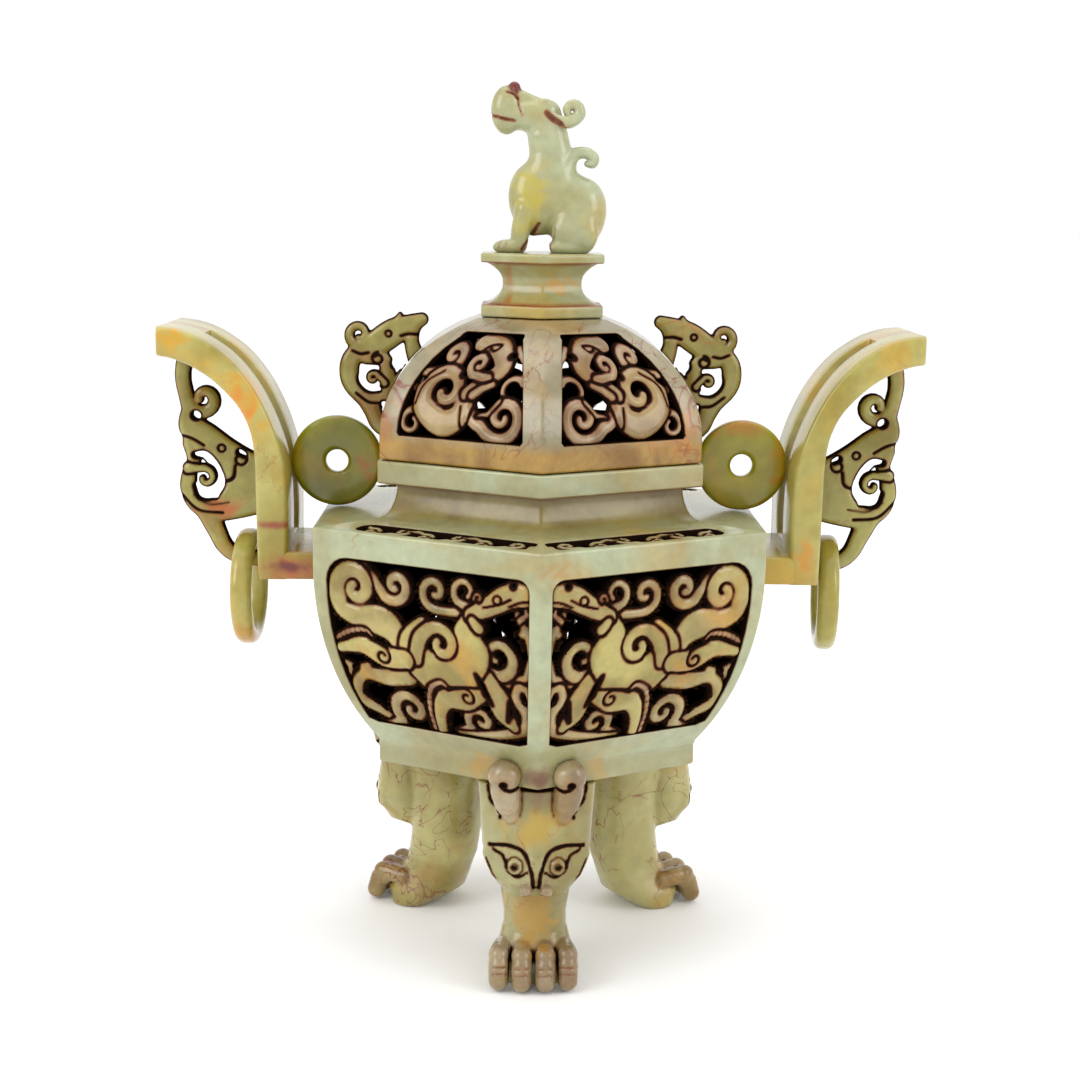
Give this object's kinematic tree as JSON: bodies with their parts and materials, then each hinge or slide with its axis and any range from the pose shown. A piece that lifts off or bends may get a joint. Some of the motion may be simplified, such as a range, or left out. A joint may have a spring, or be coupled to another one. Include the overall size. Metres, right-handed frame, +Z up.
{
  "type": "lidded hardstone censer",
  "caption": "Six-sided pierced stone censer with domed lid, beast finial, strap handles with hanging rings and beast-head legs, for burning incense.",
  "frame": {"origin": "on the ground under the middle of the vessel", "axes": "+Z up through the finial, -Y toward the front leg, +X toward the right handle"},
  "size_m": [0.2264, 0.1524, 0.2638],
  "materials": {
    "pale_stone": "polished pale green stone with yellow mottling, orange veins and brown stain in the cuts",
    "banded_stone": "polished stone, tan and orange-brown at the base band, grey-green ribs above",
    "amber_stone": "polished yellow-green stone with amber patches and rust veins",
    "olive_stone": "polished olive green stone",
    "tan_stone": "polished tan and olive stone with dark brown stained cuts"
  },
  "bodies": {
    "root": {"body": "pale_stone", "lid": "banded_stone", "finial": "pale_stone", "leg_front": "pale_stone", "leg_right": "pale_stone", "leg_left": "pale_stone", "handle_left": "amber_stone", "scroll_left": "tan_stone", "disc_left": "olive_stone", "ring_left": "amber_stone", "fin_left": "tan_stone", "handle_right": "amber_stone", "scroll_right": "tan_stone", "disc_right": "olive_stone", "ring_right": "amber_stone", "fin_right": "tan_stone"}
  },
  "joints": []
}
